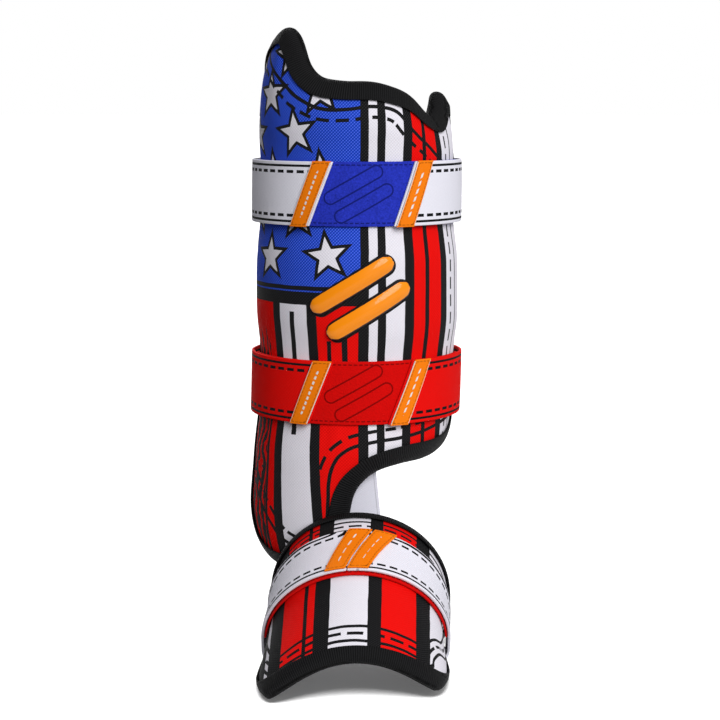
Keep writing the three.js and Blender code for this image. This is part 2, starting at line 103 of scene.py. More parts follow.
def copyOf(node, name):
    piece = bpy.data.objects.new(name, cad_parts[node].data.copy())
    scene.collection.objects.link(piece)
    piece.data.materials.clear()
    fourSided(piece)
    return piece


def settle(piece, slot, *nodes):  # smooth shading, and its place in the frame
    selectOnly(piece)
    bpy.ops.object.shade_smooth()
    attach(piece, "root")
    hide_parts(*nodes)


# Lengths along and away from a piece's sewn border, kept as attributes for print, ribs and stitches

def markSharp(piece, sharper):
    selectOnly(piece)
    editMode()
    bpy.ops.mesh.select_mode(type="EDGE")
    bpy.ops.mesh.select_all(action="DESELECT")
    bpy.ops.mesh.edges_select_sharp(sharpness=math.radians(sharper))
    editMode(False)


def sharpLinks(mesh, spots, thinner, shortest, keep):  # which corners the marked edges of thin faces join
    thin = set()
    for face in mesh.polygons:
        sides = [(spots[a] - spots[b]).length for a, b in face.edge_keys]
        if min(sides) < thinner:
            thin.update(face.edge_keys)
    links = defaultdict(list)
    for edge in mesh.edges:
        a, b = edge.vertices
        long = (spots[a] - spots[b]).length > shortest
        if edge.select and long and edge.key in thin and (not keep or keep((spots[a] + spots[b]) / 2)):
            links[a].append(b)
            links[b].append(a)
    return links


def walkLinks(links, spots):  # chains of places, begun at loose ends and then from the back
    chains = []
    walked = set()
    for start in sorted(links, key=lambda corner: (len(links[corner]) == 2, -spots[corner].y)):
        chain = [start]
        while True:
            here = chain[-1]
            ahead = [there for there in links[here] if (min(here, there), max(here, there)) not in walked]
            if not ahead:
                break
            walked.add((min(here, ahead[0]), max(here, ahead[0])))
            chain.append(ahead[0])
        if len(chain) > 1:
            chains.append(np.array([spots[corner] for corner in chain]))
    return chains


def borderOf(piece, sharper=40, thinner=7 * mm, step=0.5 * mm, shortest=0, soft=0, keep=None):
    markSharp(piece, sharper)
    spots = [vertex.co.copy() for vertex in piece.data.vertices]
    chains = walkLinks(sharpLinks(piece.data, spots, thinner, shortest, keep), spots)
    if keep:  # one long edge, carried on past both its ends
        line = max(chains, key=len)
        chains = [np.array([line[0] * 4 - line[1] * 3, *line, line[-1] * 4 - line[-2] * 3])]
    border = []  # place, direction, run
    run = 0
    for chain in chains:
        line = softened(chain, soft)
        for a, b in zip(line[:-1], line[1:]):
            way = Vector(b - a)
            count = max(1, round(way.length / step))
            for i in range(count):
                part = i / count
                border.append((Vector(a) + way * part, way.normalized(), run + way.length * part))
            run += way.length
    return border


def softened(points, rounds):  # cuts the corners of a drawn line
    for turn in range(rounds):
        quarters = [[a + (b - a) * 0.25, a + (b - a) * 0.75] for a, b in zip(points[:-1], points[1:])]
        points = np.array([points[0], *[spot for pair in quarters for spot in pair], points[-1]])
    return points


def keepAttributes(piece, **columns):
    for name, values in columns.items():
        layer = piece.data.attributes.get(name) or piece.data.attributes.new(name, "FLOAT", "POINT")
        layer.data.foreach_set("value", values)


def measureFrom(piece, border):
    tree = KDTree(len(border))
    for i, (place, way, run) in enumerate(border):
        tree.insert(place, i)
    tree.balance()
    away = np.zeros(len(piece.data.vertices), np.float32)
    along = np.zeros_like(away)
    for i, vertex in enumerate(piece.data.vertices):
        place, nearest, distance = tree.find(vertex.co)
        start, way, run = border[nearest]
        away[i] = distance / mm
        along[i] = (run + (vertex.co - start).dot(way)) / mm
    keepAttributes(piece, edgeAway=away, edgeRun=along)
    return away


def measureAcross(piece, away, step=4.0, least=0.75):  # from a band's other edge, wherever that lies
    run = np.zeros_like(away)
    piece.data.attributes["edgeRun"].data.foreach_get("value", run)
    cells = np.floor((run - run.min()) / step).astype(int)
    reach = np.zeros(cells.max() + 1)
    np.maximum.at(reach, cells, away)
    filled = np.flatnonzero(reach > least * np.median(reach))  # leaves out the slanting ends
    width = np.interp(run, run.min() + (filled + 0.5) * step, reach[filled])
    keepAttributes(piece, farAway=(width - away).astype(np.float32))


# Shader maths: a wire is one socket's value, and arithmetic on wires adds nodes

class Wire:
    def __init__(self, tree, socket=None):
        self.tree = tree
        self.socket = socket

    def node(self, kind, sockets=None, out=0, **settings):
        made = self.tree.nodes.new("ShaderNode" + kind)
        for name, value in settings.items():
            setattr(made, name, value)
        for name, value in (sockets or {}).items():
            if isinstance(value, Wire):
                self.tree.links.new(value.socket, made.inputs[name])
            else:
                made.inputs[name].default_value = value
        return Wire(self.tree, made.outputs[out])

    def beside(self, out):  # another output of the same node
        return Wire(self.tree, self.socket.node.outputs[out])

    def maths(self, operation, *values):
        return self.node("Math", dict(enumerate(values)), operation=operation)

    def __add__(self, other): return self.maths("ADD", self, other)
    def __sub__(self, other): return self.maths("SUBTRACT", self, other)
    def __rsub__(self, other): return self.maths("SUBTRACT", other, self)
    def __mul__(self, other): return self.maths("MULTIPLY", self, other)
    def __mod__(self, other): return self.maths("FLOORED_MODULO", self, other)
    def __lt__(self, other): return self.maths("LESS_THAN", self, other)
    def __gt__(self, other): return self.maths("GREATER_THAN", self, other)
    def __and__(self, other): return self.maths("MINIMUM", self, other)
    def __or__(self, other): return self.maths("MAXIMUM", self, other)
    def __abs__(self): return self.maths("ABSOLUTE", self)

    def over(self, base, colour):  # colour laid over base where this mask is 1
        return self.node("Mix", {0: self, 6: base, 7: colour}, out=2, data_type="RGBA")

    def blend(self, kind, other):  # two colours multiplied or added
        return self.node("Mix", {0: 1.0, 6: self, 7: other}, out=2, data_type="RGBA", blend_type=kind)

    def noise(self, scale, detail, place):
        return self.node("TexNoise", {"Scale": scale, "Detail": detail, "Vector": place})


def srgb(red, green, blue):
    def linear(value):
        value /= 255
        return value / 12.92 if value < 0.04045 else ((value + 0.055) / 1.055) ** 2.4
    return (linear(red), linear(green), linear(blue))


def tinted(colour, strength=1.0):  # with its alpha, darker or paler
    return (*[value * strength for value in colour], 1)


def newMaterial(name, **constants):  # constants are set on the shader's own sockets
    material = bpy.data.materials.new(name)
    material.use_nodes = True
    shader = material.node_tree.nodes["Principled BSDF"]
    for words, value in constants.items():
        shader.inputs[words.replace("_", " ")].default_value = value
    return material, Wire(material.node_tree), shader


def feed(pen, shader, colour, roughness, height=None, depth=0.0):  # depth is the bump's, in metres
    pen.tree.links.new(colour.socket, shader.inputs["Base Color"])
    pen.tree.links.new(roughness.socket, shader.inputs["Roughness"])
    if height:
        bump = pen.node("Bump", {"Height": height, "Distance": depth, "Strength": 1.0})
        pen.tree.links.new(bump.socket, shader.inputs["Normal"])


def objectPlace(pen):  # Object coordinates in millimetres
    raw = pen.node("TexCoord", out="Object")
    place = pen.node("VectorMath", {0: raw, "Scale": 1000.0}, operation="SCALE")
    x = pen.node("SeparateXYZ", {0: place})
    return place, x, x.beside(1), x.beside(2)


def roundShin(pen, x, y):  # run round the shin from its front
    return pen.maths("ARCTAN2", x, y * -1) * wrapRadius


def edgeWires(pen, measured="edge"):
    away = pen.node("Attribute", out="Fac", attribute_name=measured + "Away")
    run = pen.node("Attribute", out="Fac", attribute_name=measured + "Run")
    return away, run


def band(value, middle, width):
    return abs(value - middle) < width / 2


def dashes(run, length, gap):
    return run % (length + gap) < length


def starAway(across, up, radius, waist=0.42, tilt=0.0):  # distance past the sides of a five-pointed star
    inner = radius * waist
    notch = (inner * math.cos(math.pi / 5), inner * math.sin(math.pi / 5))
    lean = math.atan2(radius - notch[0], notch[1])
    angle = across.maths("ARCTAN2", across, up) + tilt
    folded = angle.maths("PINGPONG", angle, math.pi / 5)
    square = across * across + up * up
    reach = square.maths("SQRT", square)
    turned = folded - lean
    return reach * turned.maths("COSINE", turned) - radius * math.cos(lean)


def twill(across, up, pitch):  # raised diagonal threads, 0 to 1
    rise = (across - up) * (2 * math.pi / pitch)
    cross = (across + up) * (2 * math.pi / pitch)
    return rise.maths("SINE", rise) * 0.3 + cross.maths("SINE", cross) * 0.2 + 0.5


printWeave = {
    "pitch": 1.9,
    # painted light and shade of the threads, for every ink
    "depth": 0.26,
    "blueThreadShade": 1.2,
    "glint": 0.05,  # painted highlight on the raised threads, in black ink
    # painted highlight on the raised threads in blue ink, where it also stands for paler threads in the weave
    "blueGlint": 0.26,
    "mottle": 0.14,
    "mottleScale": 0.9,
    "redDimsGlint": 0.95,  # how far red and white ink dim the painted highlight
    "rough": 0.62,
    "height": 0.14 * mm,
}


def grey(pen, value):
    return pen.node("CombineColor", {0: value, 1: value, 2: value})


def printed(pen, shader, colour, place, across, up):  # ink carries painted light and shade of the threads: darker between them, lighter and with a painted grey highlight on their tops
    weave = printWeave
    threads = twill(across, up, weave["pitch"])
    red = pen.node("SeparateColor", {0: colour})
    green, blue = red.beside(1), red.beside(2)
    # how far each ink is darkened between the threads and lightened on them: painted shade and painted light
    depth = ((blue - red) | 0) * weave["blueThreadShade"] - green * weave["depth"] + weave["depth"]
    mottle = (pen.noise(weave["mottleScale"], 3, place) - 0.5) * weave["mottle"]
    shade = (threads - 0.5) * depth + 1 + mottle
    glintStrength = blue * weave["blueGlint"] + weave["glint"]
    # painted grey highlight on the raised threads
    glint = ((threads - 0.5) | 0) * glintStrength * (1 - red * weave["redDimsGlint"])
    inked = colour.blend("MULTIPLY", grey(pen, shade)).blend("ADD", grey(pen, glint))
    feed(pen, shader, inked, threads * 0.1 + weave["rough"], threads, weave["height"])


inks = {
    "blue": srgb(25, 70, 200),
    "red": srgb(232, 12, 8),
    "white": srgb(230, 227, 236),
    "black": srgb(17, 17, 19),
}


# Shin pad: foam under a printed cover, pressed in under the straps and full between them

shinPadding = {
    "pressure": 3.0,
    "stiffness": 30,
    "frames": 18,
    "cap": 1.6 * mm,  # the most that a point may move
    "tapeLip": 9.0,  # mm from the rim that the tape holds down
    "seatMargin": 2.0,
    "seatPress": 0.5 * mm,
}


def outwardFaces(piece, outward):  # faces whose normal follows a direction given at their middle
    return [face.normal.dot(outward(face.center)) > 0 for face in piece.data.polygons]


def swell(piece, held, padding):
    group = piece.vertex_groups.new(name="held")
    group.add([int(i) for i in np.flatnonzero(held)], 1.0, "REPLACE")
    before = placesOf(piece)
    cloth = piece.modifiers.new("Cloth", "CLOTH")
    cloth.settings.vertex_group_mass = "held"
    cloth.settings.use_pressure = True
    cloth.settings.uniform_pressure_force = padding["pressure"]
    cloth.settings.tension_stiffness = padding["stiffness"]
    cloth.settings.compression_stiffness = padding["stiffness"]
    cloth.settings.effector_weights.gravity = 0
    cloth.point_cache.frame_end = padding["frames"]
    for step in range(1, padding["frames"] + 1):
        scene.frame_set(step)
    selectOnly(piece)
    bpy.ops.object.modifier_apply(modifier="Cloth")
    scene.frame_set(1)
    move = placesOf(piece) - before
    length = np.linalg.norm(move, axis=1, keepdims=True)
    move *= np.minimum(1, padding["cap"] / np.maximum(length, 1e-9))
    movePoints(piece, before + move)
    piece.data.update()
    piece.vertex_groups.clear()
    most = float(np.linalg.norm(move, axis=1).max() / mm)
    print(piece.name, "swelled by up to", round(most, 2), "mm")


def fromLegAxis(point):
    return Vector((point.x, point.y, 0))


def makeShinPad():
    piece = copyOf("shin_pad", "shinPad")
    border = borderOf(piece, soft=2)
    smoothOut(piece, 1)
    away = measureFrom(piece, border)
    places = placesOf(piece) / mm
    outside = np.array([vertex.normal.dot(fromLegAxis(vertex.co)) > 0 for vertex in piece.data.vertices])
    fromStrap = np.abs(np.abs(places[:, 2]) - strapCentre) - strapHeight / 2
    seat = fromStrap < shinPadding["seatMargin"]
    held = ~outside | (away < shinPadding["tapeLip"]) | seat
    swell(piece, held, shinPadding)
    for vertex, pressed in zip(piece.data.vertices, seat & outside):  # the straps bite in
        if pressed:
            vertex.co -= fromLegAxis(vertex.co).normalized() * shinPadding["seatPress"]
    smoothOut(piece, 1)
    measureSeams(piece)
    piece.data.materials.append(shinCover())
    piece.data.materials.append(lining())
    for face, out in zip(piece.data.polygons, outwardFaces(piece, fromLegAxis)):
        face.material_index = 0 if out else 1
    settle(piece, "shin_print", "shin_pad")
    print("shin pad:", len(piece.data.polygons), "faces")
    return border


shinSeams = [  # lines drawn along the rim, round the shin and up, and the side that their dashes run on
    {"inside": -1, "points": [  # under the top edge
        (-92, 157), (-72, 141), (-50, 124), (-38, 114.5), (-21.5, 107.8), (-5, 107.6), (9, 110.5),
        (24.6, 108), (32, 98.5), (41, 91.5), (50, 85.5), (60, 78), (100, 58),
    ]},
    {"inside": 1, "points": [  # over the arch, from the tail to the right side
        (-21, -160), (-18, -129), (-17, -111), (-14.4, -102.5), (-10.8, -96.5), (-4.3, -91.8),
        (4.5, -89.4), (15, -88.5), (28, -87.4), (52, -83.6), (100, -74),
    ]},
    {"inside": 1, "points": [  # round the tail's left corner
        (-75, -119), (-66, -130), (-60, -138), (-55.5, -144), (-50, -150.5), (-43, -154.5), (-30, -158),
    ]},
]


def measureSeams(piece):  # signed distance from the nearest drawn line, and the run along it, in mm
    places = placesOf(piece) / mm
    flat = np.stack([np.arctan2(places[:, 0], -places[:, 1]) * wrapRadius, places[:, 2]], axis=1)
    away = np.full(len(flat), 1000.0, np.float32)  # far from every line
    run = np.zeros_like(away)
    for seam in shinSeams:
        line = softened(np.array(seam["points"], float), 3)
        begun = 0
        for start, finish in zip(line[:-1], line[1:]):
            way = finish - start
            length = np.linalg.norm(way)
            way /= length
            past = flat - start
            along = np.clip(past @ way, 0, length)
            distance = np.linalg.norm(past - along[:, None] * way, axis=1)
            side = np.sign(way[0] * past[:, 1] - way[1] * past[:, 0]) * seam["inside"]
            nearer = distance < np.abs(away)
            away[nearer] = (distance * side)[nearer]
            run[nearer] = begun + along[nearer]
            begun += length
    keepAttributes(piece, seamAway=away, seamRun=run)


shinArt = {
    "stripes": [  # left edge, how far it leans to the right in 100 mm down, ink
        (-53.0, 1.9, "white"), (-27.3, 2.0, "red"), (3.8, 0.0, "white"), (31.6, 0.0, "red"),
        (59.6, 0.0, "white"), (90.0, 0.0, "red"),
    ],
    "line": 6.2,  # black between the stripes
    "lines": [  # thin inked lines inside the stripes: place, width, bottom, top
        (-40.2, 3.4, -86, -11.3), (-16.6, 2.6, -42, -28), (-7.2, 3.4, -42, -19), (14.5, 4.9, -150, 150),
        (44.4, 3.2, -150, 150), (74.5, 1.2, -150, 150), (-60.2, 2.2, -175, -78),
    ],
    "scribble": {  # loose wavy lines on the left side
        "beyond": -61.5, "below": -14, "pitch": 5.4, "line": 3.5, "sway": 16, "swayScale": 0.05,
        "ragged": 8.3, "raggedDepth": 2,
    },
    "canton": {"right": 2.0, "bottom": 4.3, "bar": 11.2, "threadDown": 3.0, "thread": 0.9},
    "star": {"radius": 11.6, "outline": 1.9},
    "stars": [  # round the shin, up, turned
        (-23, 119, 0.1), (-60.5, 117, 0.05), (-38.5, 94.6, 0.15), (-80, 93, 0.0), (-80, 141, 0.0),
        (-45, 141, 0.2), (-21.5, 70, 0.1), (-60, 70, 0.0), (-38.5, 46, 0.1), (-80, 46, 0.0),
        (-59, 20.6, 0.05), (-17.5, 22.4, 0.15),
    ],
    "solid": (0, 2.2),  # inside the drawn line, width
    "dashed": (6.3, 2.1),
    "dash": (7.2, 3.4),
    "sideDashes": (68.0, 1.6),
    # black print round the badge's bars, a printed outline that is also a painted shadow under them
    "badgeOutlineShadow": {"s": 2.4, "z": -2.5, "length": 57.6, "width": 13.6, "pitch": 18, "tilt": 33},
    "wobble": 0.7,  # how far the printed edges wander
    "wobbleScale": (0.09, 0.07),  # round the shin, up
    "seamWander": 1.6,
    "seamScale": 0.04,
}


def wander(pen, place, scale, amount):
    return (pen.noise(scale, 2, place) - 0.5) * amount


def shinStripes(pen, place, s, up):  # red and white, with the black between them and the thin lines
    art = shinArt
    colour = tinted(inks["red"])
    sideAt, sideWide = art["sideDashes"]
    ink = band(s, sideAt, sideWide) & dashes(up, *art["dash"])
    for edge, lean, stripe in art["stripes"]:
        past = s + up * (lean / 100)
        colour = (past > edge).over(colour, tinted(inks[stripe]))
        ink = ink | band(past, edge, art["line"])
    for middle, width, bottom, top in art["lines"]:
        ink = ink | (band(s, middle, width) & (up > bottom) & (up < top))
    scribble = art["scribble"]
    drift = pen.noise(scribble["swayScale"], 3, place) * scribble["sway"]
    loose = (s + drift) % scribble["pitch"] < scribble["line"]
    ragged = up + (s % scribble["ragged"]) * scribble["raggedDepth"] + drift
    ink = ink | (loose & (s < scribble["beyond"]) & (ragged < scribble["below"]))
    return ink.over(colour, tinted(inks["black"]))


def shinCanton(colour, s, up):  # the blue field with its stars, and the black bar under it
    canton, star = shinArt["canton"], shinArt["star"]
    field = s < canton["right"]
    bar = field & (up > canton["bottom"] - canton["bar"])
    thread = field & band(up, canton["bottom"] - canton["threadDown"], canton["thread"])
    upper = field & (up > canton["bottom"])
    colour = bar.over(colour, tinted(inks["black"]))
    colour = (thread | upper).over(colour, tinted(inks["blue"]))
    nearest = None
    for across, rise, turned in shinArt["stars"]:
        away = starAway(s - across, up - rise, star["radius"], tilt=turned)
        nearest = away if nearest is None else nearest & away
    colour = (upper & (nearest < star["outline"])).over(colour, tinted(inks["black"]))
    return (upper & (nearest < 0)).over(colour, tinted(inks["white"]))


def shinCover():
    art = shinArt
    material, pen, shader = newMaterial("shinCover", Specular_IOR_Level=0.04)
    place, x, y, z = objectPlace(pen)
    aroundScale, upScale = art["wobbleScale"]
    s = roundShin(pen, x, y) + wander(pen, place, aroundScale, art["wobble"])
    up = z + wander(pen, place, upScale, art["wobble"])
    colour = shinCanton(shinStripes(pen, place, s, up), s, up)
    inside, run = edgeWires(pen, "seam")
    inside = inside + wander(pen, place, art["seamScale"], art["seamWander"])
    ink = band(inside, *art["solid"]) | (band(inside, *art["dashed"]) & dashes(run, *art["dash"]))
    edge = art["badgeOutlineShadow"]  # black round the badge's bars: a printed outline that also stands in as painted shadow under them
    for side in (-0.5, 0.5):
        ink = ink | (barAway(s - edge["s"], up - edge["z"], edge, side * edge["pitch"]) < 0)
    colour = ink.over(colour, tinted(inks["black"]))
    printed(pen, shader, colour, place, roundShin(pen, x, y), z)
    return material


def barAway(s, up, bars, offset):  # distance past the outline of a slanting round-ended bar
    tilt = math.radians(bars["tilt"])
    along = s * math.cos(tilt) + up * math.sin(tilt)
    across = up * math.cos(tilt) - s * math.sin(tilt) - offset
    straight = (bars["length"] - bars["width"]) / 2
    past = (abs(along) - straight) | 0
    square = past * past + across * across
    return square.maths("SQRT", square) - bars["width"] / 2


liningLook = {"colour": srgb(40, 40, 44), "pale": 2.4, "cell": 2.4, "depth": 0.4 * mm}


def lining():  # black knitted spacer cloth on the inside
    material, pen, shader = newMaterial("lining", Specular_IOR_Level=0.1)
    place = objectPlace(pen)[0]
    cells = pen.node("TexVoronoi", {"Vector": place, "Scale": 1 / liningLook["cell"]})
    base = liningLook["colour"]
    colour = cells.over(tinted(base), tinted(base, liningLook["pale"]))
    feed(pen, shader, colour, cells * 0.2 + 0.7, cells, liningLook["depth"])
    return material


# Edge tape: ribbed black binding folded round a pad's rim

tapeLook = {
    "colour": srgb(20, 20, 21),
    "dark": 0.4,  # painted shade between the ribs
    # painted highlight on the ribs
    "pale": 2.1,
    "rib": 1.2,
    "ribDepth": 0.3 * mm,
    "speckScale": 1.2,
    "keep": 0.75,
}


def edgeTape():
    material, pen, shader = newMaterial("edgeTape", Specular_IOR_Level=0.06)
    run = edgeWires(pen)[1]
    place = objectPlace(pen)[0]
    turn = run * (2 * math.pi / tapeLook["rib"])
    ribs = turn.maths("SINE", turn) * 0.5 + 0.5
    speck = pen.noise(tapeLook["speckScale"], 3, place)
    base = tapeLook["colour"]
    # painted shade between the ribs and painted highlight on them, mixed with random specks
    colour = (ribs * 0.7 + speck * 0.3).over(tinted(base, tapeLook["dark"]), tinted(base, tapeLook["pale"]))
    feed(pen, shader, colour, speck * 0.2 + 0.55, ribs + speck * 0.2, tapeLook["ribDepth"])
    return material


def makeBinding(node, name, border):
    piece = copyOf(node, name)
    smoothOut(piece, 2, tapeLook["keep"])
    measureFrom(piece, border)
    piece.data.materials.append(bpy.data.materials.get("edgeTape") or edgeTape())
    settle(piece, "edge_tape", node)
    print(name + ":", len(piece.data.polygons), "faces")
    return piece


# Foot pad: the printed arch over the instep

footPadding = {
    "pressure": 2.0,
    "stiffness": 30,
    "frames": 16,
    "cap": 1.0 * mm,
    "tapeLip": 7.0,
    "patchReach": 14 * mm,  # the loop band holds down what lies this close under it
}
footLine = {  # metres, with forward as a share of the drop
    "start": 0.05, "length": 0.11, "height": -0.175, "drop": 0.05, "forward": 0.35,
}
footArt = {
    "lines": [  # black between the stripes: place, width
        (-53.0, 4.4), (-45.2, 7.4), (-28.4, 2.2), (-18.9, 8.8), (10.9, 7.6), (38.2, 8.0), (58.0, 2.0),
    ],
    "reds": [(-31.6, 33.0), (24.9, 28.0)],  # middle, width
    "slant": 0.03,
    "slantFrom": 110,  # mm out from the leg
    "solids": [(9.8, 1.8), (18.8, 1.8)],
    "dashed": (14.3, 1.9),
    "dash": (7.6, 3.0),
    "wobble": 0.7,
    "wobbleScale": 0.09,
    "seamWander": 1.6,
    "seamScale": 0.05,
}


def fromFootLine(point):  # away from a line under the instep, from the ankle down to the toes
    t = (-point.y - footLine["start"]) / footLine["length"]
    forward = -footLine["forward"] * max(t, 0) * footLine["drop"]
    return Vector((point.x, forward, point.z - (footLine["height"] - footLine["drop"] * t)))


def makeFootPad():
    piece = copyOf("foot_pad", "footPad")
    border = borderOf(piece, soft=2)
    smoothOut(piece, 1)
    away = measureFrom(piece, border)
    outside = np.array([vertex.normal.dot(fromFootLine(vertex.co)) > 0 for vertex in piece.data.vertices])
    underPatch = underNode(piece, "foot_patch", footPadding["patchReach"])
    swell(piece, ~outside | (away < footPadding["tapeLip"]) | underPatch, footPadding)
    smoothOut(piece, 1)
    measureFrom(piece, border)
    piece.data.materials.append(footCover())
    piece.data.materials.append(bpy.data.materials["lining"])
    for face, out in zip(piece.data.polygons, outwardFaces(piece, fromFootLine)):
        face.material_index = 0 if out else 1
    settle(piece, "foot_print", "foot_pad")
    print("foot pad:", len(piece.data.polygons), "faces")
    return piece, border


def underNode(piece, node, reach):  # which points lie close under a band
    tree = KDTree(len(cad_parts[node].data.vertices))
    for i, vertex in enumerate(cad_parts[node].data.vertices):
        tree.insert(vertex.co, i)
    tree.balance()
    return np.array([tree.find(vertex.co)[2] < reach for vertex in piece.data.vertices])


def footCover():
    art = footArt
    material, pen, shader = newMaterial("footCover", Specular_IOR_Level=0.04)
    place, x, y, z = objectPlace(pen)
    across = x - (y + art["slantFrom"]) * art["slant"] + wander(pen, place, art["wobbleScale"], art["wobble"])
    colour = tinted(inks["white"])
    for stripe in art["reds"]:
        colour = band(across, *stripe).over(colour, tinted(inks["red"]))
    edge, run = edgeWires(pen)
    edge = edge + wander(pen, place, art["seamScale"], art["seamWander"])
    ink = band(edge, *art["dashed"]) & dashes(run, *art["dash"])
    for line in art["solids"]:
        ink = ink | band(edge, *line)
    for line in art["lines"]:
        ink = ink | band(across, *line)
    colour = ink.over(colour, tinted(inks["black"]))
    printed(pen, shader, colour, place, x, y + z)
    return material


# Straps: knitted elastic with printed lines along both edges

strapLook = {
    "solid": (2.6, 1.4),  # in from each edge, width
    "dashed": (6.1, 1.8),
    "dash": (4.8, 2.298),  # 54 dashes go round the leg
    "knit": 1.1,
    "cord": 2.1,
    "speckScale": 0.8,
    "dark": 0.84,  # painted shade between the knitted threads
    "depth": 0.16 * mm,
    "seam": (1.9, 0.6),  # on the plain connector
    "seamDark": 0.7,
    "endMargin": 1.0,  # keeps the lines off a strap's ends
}
elastics = {"white": srgb(245, 244, 255), "plain": srgb(232, 231, 243), "red": srgb(242, 16, 12)}


def elastic(name, base, bottom=None, plain=False):  # calf straps are measured up from their bottom
    material, pen, shader = newMaterial(name, Specular_IOR_Level=0.05)
    place, x, y, z = objectPlace(pen)
    edge, along = edgeWires(pen)
    if plain:
        away, run = x, z
    elif bottom is None:
        away, run = edge, along
        inward = away & pen.node("Attribute", out="Fac", attribute_name="farAway")
    else:
        away, run = z - bottom, roundShin(pen, x, y)
        inward = away & (strapHeight - away)
    lengthwise = run * (2 * math.pi / strapLook["knit"])
    crosswise = away * (2 * math.pi / strapLook["cord"])
    knit = lengthwise.maths("SINE", lengthwise) * crosswise.maths("SINE", crosswise) * 0.5 + 0.5
    speck = pen.noise(strapLook["speckScale"], 3, place)
    # painted shade between the knitted threads, mixed with random specks
    colour = (knit * 0.6 + speck * 0.4).over(tinted(base, strapLook["dark"]), tinted(base))
    if plain:
        colour = band(edge, *strapLook["seam"]).over(colour, tinted(base, strapLook["seamDark"]))
    else:
        sewn = band(inward, *strapLook["dashed"]) & dashes(run, *strapLook["dash"])
        lines = (band(inward, *strapLook["solid"]) | sewn) & (inward - edge < strapLook["endMargin"])
        colour = lines.over(colour, tinted(inks["black"]))
    feed(pen, shader, colour, speck * 0.2 + 0.65, knit, strapLook["depth"])
    return material


bandEdges = {
    "sharper": 50,
    "thinner": 3 * mm,
    "shortest": 2.2 * mm,
    "soft": 2,
    "roundKeep": 0.8,
    "sewn": 0.3 * mm,  # how far flat cloth edges are rounded
    "behind": -85 * mm,  # the foot strap's back edge lies behind this
}


def onBackEdge(spot):
    return spot.y > bandEdges["behind"]


def makeBand(node, name, slot, material, levels=2, bevel=0.5 * mm, keep=None):  # no bevel means a round skin
    piece = copyOf(node, name)
    oneEdge = {"shortest": bandEdges["shortest"], "soft": bandEdges["soft"], "keep": keep} if keep else {}
    border = borderOf(piece, bandEdges["sharper"], bandEdges["thinner"], **oneEdge)
    if bevel:
        limit = math.radians(bandEdges["sharper"])
        applyModifier(piece, "BEVEL", width=bevel, segments=2, limit_method="ANGLE", angle_limit=limit)
    smoothOut(piece, levels, 0 if bevel else bandEdges["roundKeep"])
    away = measureFrom(piece, border)
    if keep:
        measureAcross(piece, away)
    piece.data.materials.append(material)
    settle(piece, slot, node)
    print(name + ":", len(piece.data.polygons), "faces")


# Loop bands: brushed pile with a row of stitches along each edge and two stitched bar outlines

loopLook = {
    "stitch": (2.0, 0.7),
    "dash": (2.2, 1.0),
    "pile": 0.9,
    "tufts": 0.25,
    "stitchDark": 0.4,
    "depth": 0.4 * mm,
    "bars": {"s": 1, "length": 38, "width": 7.5, "pitch": 12.5, "tilt": 30, "line": 0.9},
}
loops = {  # colour, how dark and how pale the tufts get
    "blueLoop": (srgb(40, 54, 182), 0.55, 1.4),
    "redLoop": (srgb(212, 12, 10), 0.86, 1.08),
}


def loopPile(name, centre=None):
    material, pen, shader = newMaterial(name, Specular_IOR_Level=0.03, Sheen_Weight=0.02)
    away, run = edgeWires(pen)
    place, x, y, z = objectPlace(pen)
    pile = pen.noise(loopLook["pile"], 4, place)
    tufts = pen.noise(loopLook["tufts"], 3, place)
    base, darkest, palest = loops[name]
    colour = (pile * 1.3 + tufts * 0.5 - 0.4).over(tinted(base, darkest), tinted(base, palest))
    stitch = band(away, *loopLook["stitch"]) & dashes(run, *loopLook["dash"])
    height = pile + tufts * 0.5
    if centre is not None:
        bars = loopLook["bars"]
        s = roundShin(pen, x, y) - bars["s"]
        for side in (-0.5, 0.5):
            stitch = stitch | band(barAway(s, z - centre, bars, side * bars["pitch"]), 0, bars["line"])
    colour = stitch.over(colour, tinted(base, loopLook["stitchDark"]))
    feed(pen, shader, colour, pile * 0.1 + 0.85, height - stitch * 1.2, loopLook["depth"])
    return material


# Pull tabs: orange woven labels with a stitched border and a running stitch down the middle

tabLook = {
    "colour": srgb(255, 131, 9),
    "thread": srgb(238, 232, 226),
    "stitch": (1.3, 0.55),
    "dash": (1.9, 0.8),
    "middle": 0.55,  # half the width of the pale running stitch
    "middleDash": (2.2, 1.4),
    "selvedge": 0.45,
    "calfWide": 11,
    "footWide": 12.3,
    "weave": 0.9,
    # painted shade between the woven threads
    "dark": 0.92,
    "stitchDark": 0.62,
    "depth": 0.14 * mm,
}


def wovenLabel(name, wide):
    material, pen, shader = newMaterial(name, Specular_IOR_Level=0.08)
    away, run = edgeWires(pen)
    x, y, z = objectPlace(pen)[1:]
    threads = twill(x, z, tabLook["weave"])
    base = tabLook["colour"]
    # painted shade between the woven threads
    colour = threads.over(tinted(base, tabLook["dark"]), tinted(base))
    stitch = band(away, *tabLook["stitch"]) & dashes(run, *tabLook["dash"])
    colour = stitch.over(colour, tinted(base, tabLook["stitchDark"]))
    level = abs(abs(z) - strapCentre)
    selvedge = (away < tabLook["selvedge"]) & (level < strapHeight / 2 - tabLook["selvedge"])
    pale = ((away > wide / 2 - tabLook["middle"]) & dashes(z - y, *tabLook["middleDash"])) | selvedge
    colour = pale.over(colour, tinted(tabLook["thread"]))
    feed(pen, shader, colour, threads * 0.1 + 0.5, threads + (stitch | pale) * 1.5, tabLook["depth"])
    return material


# Badge: two domed glossy bars with a black edge

badgeLook = {"colour": srgb(253, 145, 2), "edge": 0.7, "rough": 0.27, "smear": 0.1, "smearScale": 0.2}


